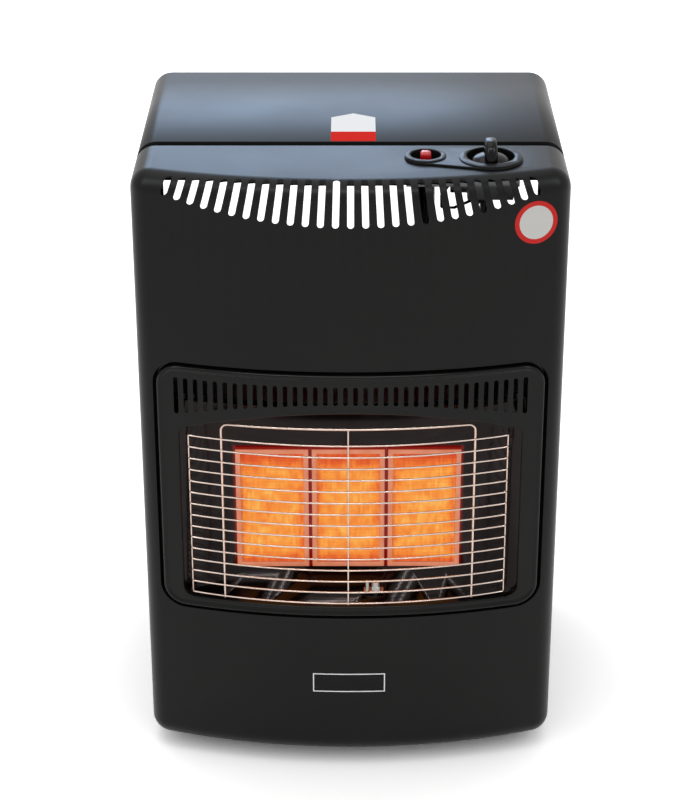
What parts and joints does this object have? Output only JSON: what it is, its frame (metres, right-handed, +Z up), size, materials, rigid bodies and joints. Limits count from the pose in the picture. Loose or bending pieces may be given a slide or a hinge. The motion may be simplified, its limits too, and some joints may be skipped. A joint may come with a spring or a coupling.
{
  "type": "portable gas cabinet heater",
  "caption": "Bowed steel cabinet heater on swivel castors, with a radiant plaque burner behind a wire guard, a fan of vents and a tap knob and igniter button on top.",
  "frame": {"origin": "on the floor under the middle of the part's box, between the castors", "axes": "+Z up, the bowed front with the burner window faces -Y, +X to the right as seen from the front"},
  "size_m": [0.42, 0.351, 0.6647],
  "materials": {
    "cabinet": "semi-gloss charcoal powder coat",
    "insert": "gloss black enamel",
    "plastic": "moulded black",
    "red": "moulded red",
    "wire": "bright plated wire",
    "zinc": "zinc-coated sheet",
    "reflector": "heat-tinted reflector sheet",
    "tray": "aluminised steel",
    "ceramic": "perforated ceramic, glowing",
    "brass": "turned",
    "aluminium": "die-cast",
    "rubber": "matt black"
  },
  "bodies": {
    "cabinet": {"front_cover": "cabinet", "rear_cover": "cabinet", "base_pan": "cabinet", "partition_panel": "zinc", "surround": "insert", "wire_guard": "wire", "firebox": "reflector", "burner_tray_left": "tray", "burner_tray_centre": "tray", "burner_tray_right": "tray", "ceramic_plaque_left": "ceramic", "ceramic_plaque_centre": "ceramic", "ceramic_plaque_right": "ceramic", "burner_support_upper": "zinc", "burner_support_lower": "zinc", "gas_rail": "zinc", "injector_left": "brass", "injector_centre": "brass", "injector_right": "brass", "pilot_burner": "zinc", "heat_deflector": "zinc", "control_escutcheon": "plastic", "control_bracket": "zinc", "control_valve": "aluminium", "hose_nozzle": "brass", "igniter_body": "plastic", "feed_tube": "zinc", "thermocouple_lead": "rubber", "ignition_lead": "rubber", "castor_plate_front_left": "zinc", "castor_plate_front_right": "zinc", "castor_plate_rear_left": "zinc", "castor_plate_rear_right": "zinc"},
    "rear_panel": {"rear_panel": "cabinet"},
    "plunger": {"valve_plunger": "brass"},
    "knob": {"control_knob": "plastic", "valve_spindle": "brass"},
    "button": {"igniter_button": "red"},
    "swivel_front_left": {"castor_fork_front_left": "zinc", "castor_axle_front_left": "zinc"},
    "swivel_front_right": {"castor_fork_front_right": "zinc", "castor_axle_front_right": "zinc"},
    "swivel_rear_left": {"castor_fork_rear_left": "zinc", "castor_axle_rear_left": "zinc"},
    "swivel_rear_right": {"castor_fork_rear_right": "zinc", "castor_axle_rear_right": "zinc"},
    "wheel_front_left": {"castor_wheel_front_left": "rubber"},
    "wheel_front_right": {"castor_wheel_front_right": "rubber"},
    "wheel_rear_left": {"castor_wheel_rear_left": "rubber"},
    "wheel_rear_right": {"castor_wheel_rear_right": "rubber"}
  },
  "joints": [
    {"name": "rear_panel_lift", "type": "slide", "parent": "cabinet", "child": "rear_panel", "axis": [0, 0, 1], "range_m": [0, 0.02]},
    {"name": "knob_push", "type": "slide", "parent": "cabinet", "child": "plunger", "axis": [0, 0, -1], "range_m": [0, 0.004], "stiffness_N_per_m": 700, "springref_m": -0.004},
    {"name": "knob_turn", "type": "hinge", "parent": "plunger", "child": "knob", "pos_m": [0.134, -0.098, 0.64], "axis": [0, 0, 1], "range_deg": [0, 210]},
    {"name": "igniter_press", "type": "slide", "parent": "cabinet", "child": "button", "axis": [0, 0, -1], "range_m": [0, 0.004], "stiffness_N_per_m": 900, "springref_m": -0.004},
    {"name": "swivel_front_left", "type": "hinge", "parent": "cabinet", "child": "swivel_front_left", "pos_m": [-0.15, -0.092, 0.048], "axis": [0, 0, 1], "continuous": true},
    {"name": "swivel_front_right", "type": "hinge", "parent": "cabinet", "child": "swivel_front_right", "pos_m": [0.15, -0.092, 0.048], "axis": [0, 0, 1], "continuous": true},
    {"name": "swivel_rear_left", "type": "hinge", "parent": "cabinet", "child": "swivel_rear_left", "pos_m": [-0.15, 0.126, 0.048], "axis": [0, 0, 1], "continuous": true},
    {"name": "swivel_rear_right", "type": "hinge", "parent": "cabinet", "child": "swivel_rear_right", "pos_m": [0.15, 0.126, 0.048], "axis": [0, 0, 1], "continuous": true},
    {"name": "roll_front_left", "type": "hinge", "parent": "swivel_front_left", "child": "wheel_front_left", "pos_m": [-0.15, -0.078, 0.02], "axis": [1, 0, 0], "continuous": true},
    {"name": "roll_front_right", "type": "hinge", "parent": "swivel_front_right", "child": "wheel_front_right", "pos_m": [0.15, -0.078, 0.02], "axis": [1, 0, 0], "continuous": true},
    {"name": "roll_rear_left", "type": "hinge", "parent": "swivel_rear_left", "child": "wheel_rear_left", "pos_m": [-0.15, 0.14, 0.02], "axis": [1, 0, 0], "continuous": true},
    {"name": "roll_rear_right", "type": "hinge", "parent": "swivel_rear_right", "child": "wheel_rear_right", "pos_m": [0.15, 0.14, 0.02], "axis": [1, 0, 0], "continuous": true}
  ]
}
